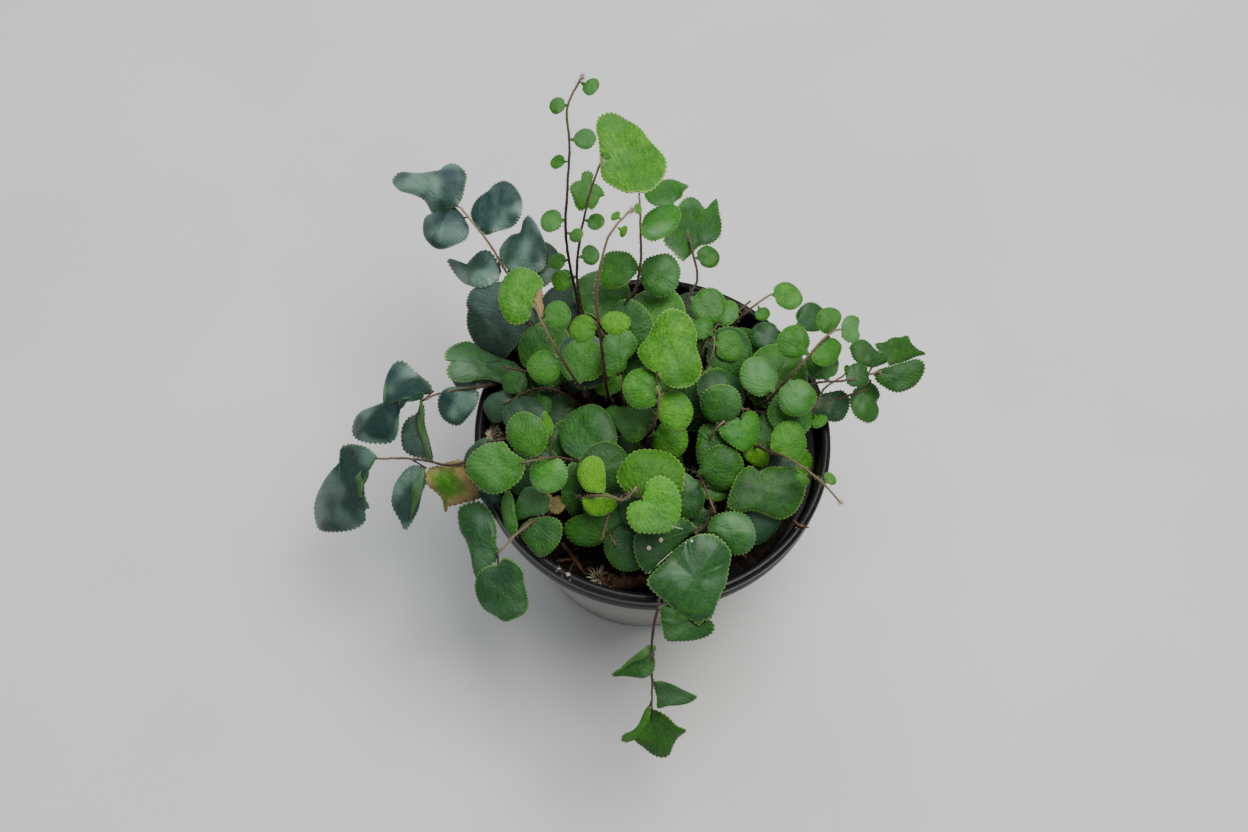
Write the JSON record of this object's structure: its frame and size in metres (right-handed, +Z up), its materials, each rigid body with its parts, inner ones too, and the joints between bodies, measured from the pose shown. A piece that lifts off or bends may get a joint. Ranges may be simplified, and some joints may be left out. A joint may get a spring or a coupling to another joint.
{
  "type": "potted button fern",
  "caption": "A small fern with wiry brown stems and round green leaflets, arching and trailing from the dark soil of a round black nursery pot.",
  "frame": {"origin": "The middle of the flat underside of the pot, on the pot's axis.", "axes": "+Z up along the pot's axis, +X to the right and +Y to the back as the picture shows the plant."},
  "size_m": [0.1801, 0.1756, 0.1743],
  "materials": {
    "black_plastic": "satin",
    "potting_soil": "matte",
    "brown_stem": "matte",
    "leaf_bright": "satin",
    "leaf_green": "satin",
    "leaf_deep": "satin",
    "leaf_blue": "satin"
  },
  "bodies": {
    "root": {"frond_back_broad_tip": "leaf_bright", "frond_back_left_dark": "leaf_blue", "frond_back_middle": "leaf_green", "frond_back_right": "leaf_green", "frond_back_right_low": "leaf_green", "frond_back_tall": "leaf_green", "frond_front_arching": "leaf_bright", "frond_front_dark_tip": "leaf_deep", "frond_front_left_over_rim": "leaf_deep", "frond_front_middle": "leaf_bright", "frond_front_short": "leaf_green", "frond_front_trailing": "leaf_green", "frond_left_arching": "leaf_bright", "frond_left_dark_inner": "leaf_blue", "frond_left_dark_lower": "leaf_blue", "frond_left_dark_upper": "leaf_blue", "frond_left_front": "leaf_green", "frond_left_inner": "leaf_deep", "frond_low_1": "leaf_deep", "frond_low_10": "leaf_deep", "frond_low_11": "leaf_deep", "frond_low_12": "leaf_deep", "frond_low_13": "leaf_deep", "frond_low_14": "leaf_deep", "frond_low_15": "leaf_deep", "frond_low_2": "leaf_deep", "frond_low_3": "leaf_deep", "frond_low_4": "leaf_deep", "frond_low_5": "leaf_deep", "frond_low_6": "leaf_deep", "frond_low_7": "leaf_deep", "frond_low_8": "leaf_deep", "frond_low_9": "leaf_deep", "frond_middle_broad_tip": "leaf_bright", "frond_middle_left": "leaf_green", "frond_middle_right": "leaf_green", "frond_middle_short": "leaf_green", "frond_right_back": "leaf_deep", "frond_right_curled": "leaf_bright", "frond_right_front": "leaf_green", "frond_right_long": "leaf_green", "frond_right_low": "leaf_deep", "frond_right_middle": "leaf_green", "frond_right_runner": "leaf_bright", "frond_right_upper": "leaf_green", "pot": "black_plastic", "rhizome": "brown_stem", "root_twig": "brown_stem", "soil": "potting_soil"}
  },
  "joints": []
}
